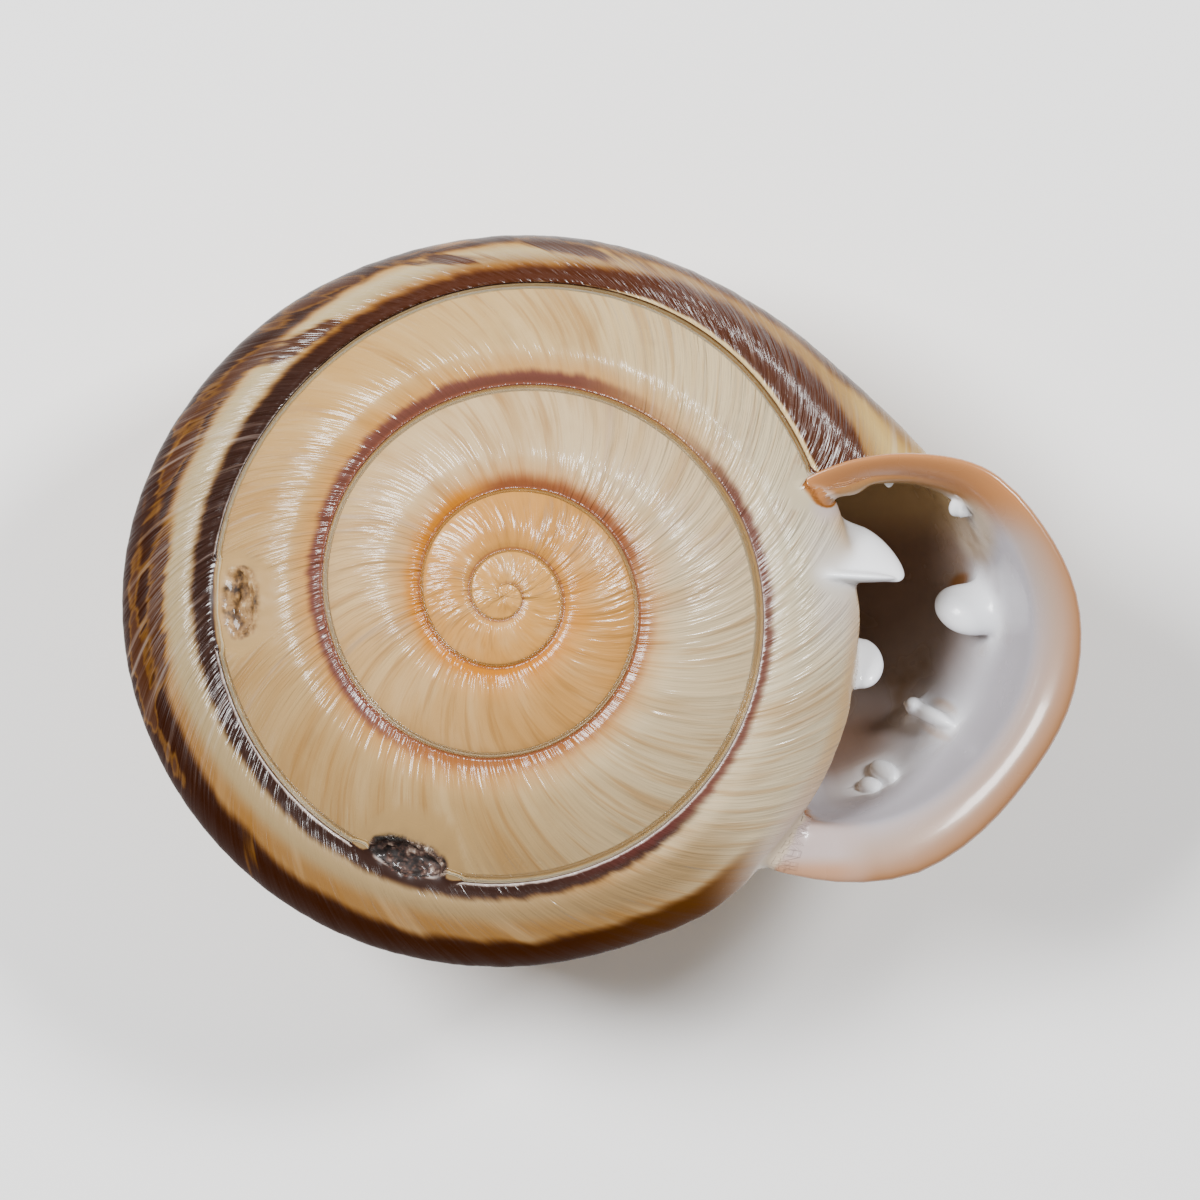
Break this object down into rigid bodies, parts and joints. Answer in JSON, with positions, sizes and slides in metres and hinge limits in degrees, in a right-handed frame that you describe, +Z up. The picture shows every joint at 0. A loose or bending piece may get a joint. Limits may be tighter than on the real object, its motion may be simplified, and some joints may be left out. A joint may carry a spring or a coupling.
{
  "type": "land snail shell",
  "caption": "Coiled land snail shell with a low spire and a flared mouth turned up beside it, with porcelain teeth on its walls.",
  "frame": {"origin": "the centre of the small worn flat under the shell, on the surface that it rests on", "axes": "+Z up from the base to the spire, +X from the spire towards the mouth, +Y from the mouth's lower end towards its seam"},
  "size_m": [0.034, 0.026, 0.0156],
  "materials": {
    "shell": "glossy"
  },
  "bodies": {
    "root": {"shell": "shell"}
  },
  "joints": []
}
